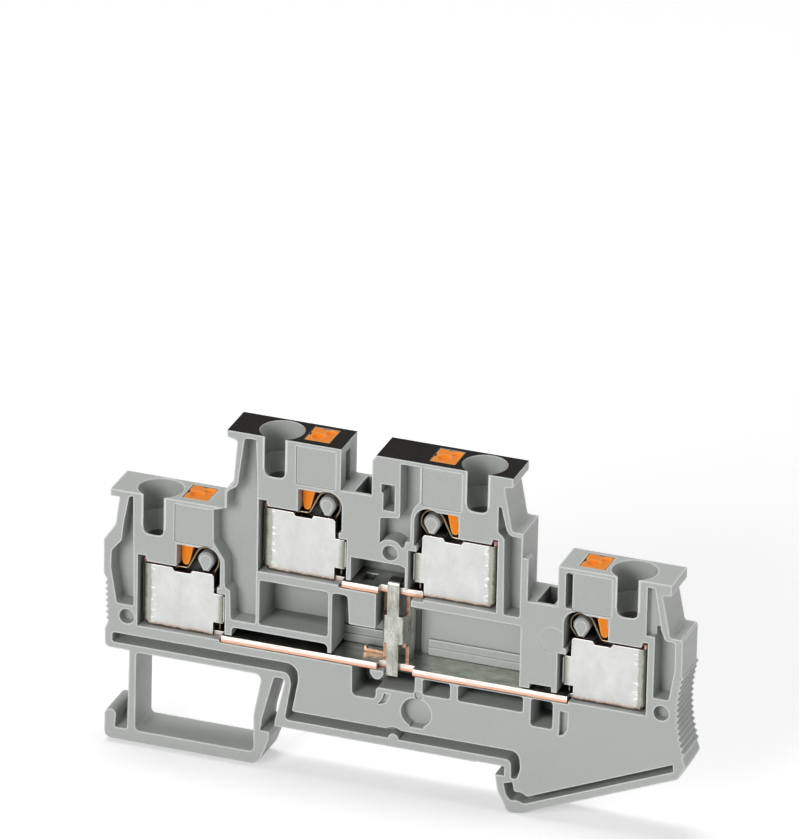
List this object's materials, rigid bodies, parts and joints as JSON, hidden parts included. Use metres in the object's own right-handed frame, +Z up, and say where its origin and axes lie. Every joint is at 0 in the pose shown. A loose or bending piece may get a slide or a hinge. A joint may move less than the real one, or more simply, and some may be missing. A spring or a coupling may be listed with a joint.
{
  "type": "double-level terminal block",
  "caption": "Slim two-level rail-mounted terminal block with one open side, push-in wire entries with release buttons, sprung clamps and current bars.",
  "frame": {"origin": "middle of the face that rests on the rail, halfway through the thickness", "axes": "+X along the block from the snap foot to the fixed hook, +Y along the rail from the open side to the closed back, +Z up away from the rail"},
  "size_m": [0.0829, 0.0074, 0.0491],
  "materials": {
    "housing_plastic": "fine matt moulded grey",
    "button_plastic": "satin moulded orange",
    "cage_metal": "tinned sheet, satin",
    "spring_metal": "satin spring strip",
    "bar_metal": "tinned, satin",
    "bonder_metal": "tinned, speckled, with bare cut edges"
  },
  "bodies": {
    "block": {"housing": "housing_plastic", "lower_bar": "bar_metal", "upper_bar": "bar_metal", "bonder": "bonder_metal", "lower_left_cage": "cage_metal", "lower_left_spring": "spring_metal", "upper_left_cage": "cage_metal", "upper_left_spring": "spring_metal", "upper_right_cage": "cage_metal", "upper_right_spring": "spring_metal", "lower_right_cage": "cage_metal", "lower_right_spring": "spring_metal"},
    "lower_left_button": {"lower_left_button": "button_plastic"},
    "upper_left_button": {"upper_left_button": "button_plastic"},
    "upper_right_button": {"upper_right_button": "button_plastic"},
    "lower_right_button": {"lower_right_button": "button_plastic"}
  },
  "joints": [
    {"name": "lower_left_press", "type": "slide", "parent": "block", "child": "lower_left_button", "axis": [0, 0, -1], "range_m": [0, 0.0016], "stiffness_N_per_m": 4000, "springref_m": -0.0005, "deforming": ["lower_left_spring"]},
    {"name": "upper_left_press", "type": "slide", "parent": "block", "child": "upper_left_button", "axis": [0, 0, -1], "range_m": [0, 0.0016], "stiffness_N_per_m": 4000, "springref_m": -0.0005, "deforming": ["upper_left_spring"]},
    {"name": "upper_right_press", "type": "slide", "parent": "block", "child": "upper_right_button", "axis": [0, 0, -1], "range_m": [0, 0.0016], "stiffness_N_per_m": 4000, "springref_m": -0.0005, "deforming": ["upper_right_spring"]},
    {"name": "lower_right_press", "type": "slide", "parent": "block", "child": "lower_right_button", "axis": [0, 0, -1], "range_m": [0, 0.0016], "stiffness_N_per_m": 4000, "springref_m": -0.0005, "deforming": ["lower_right_spring"]}
  ]
}
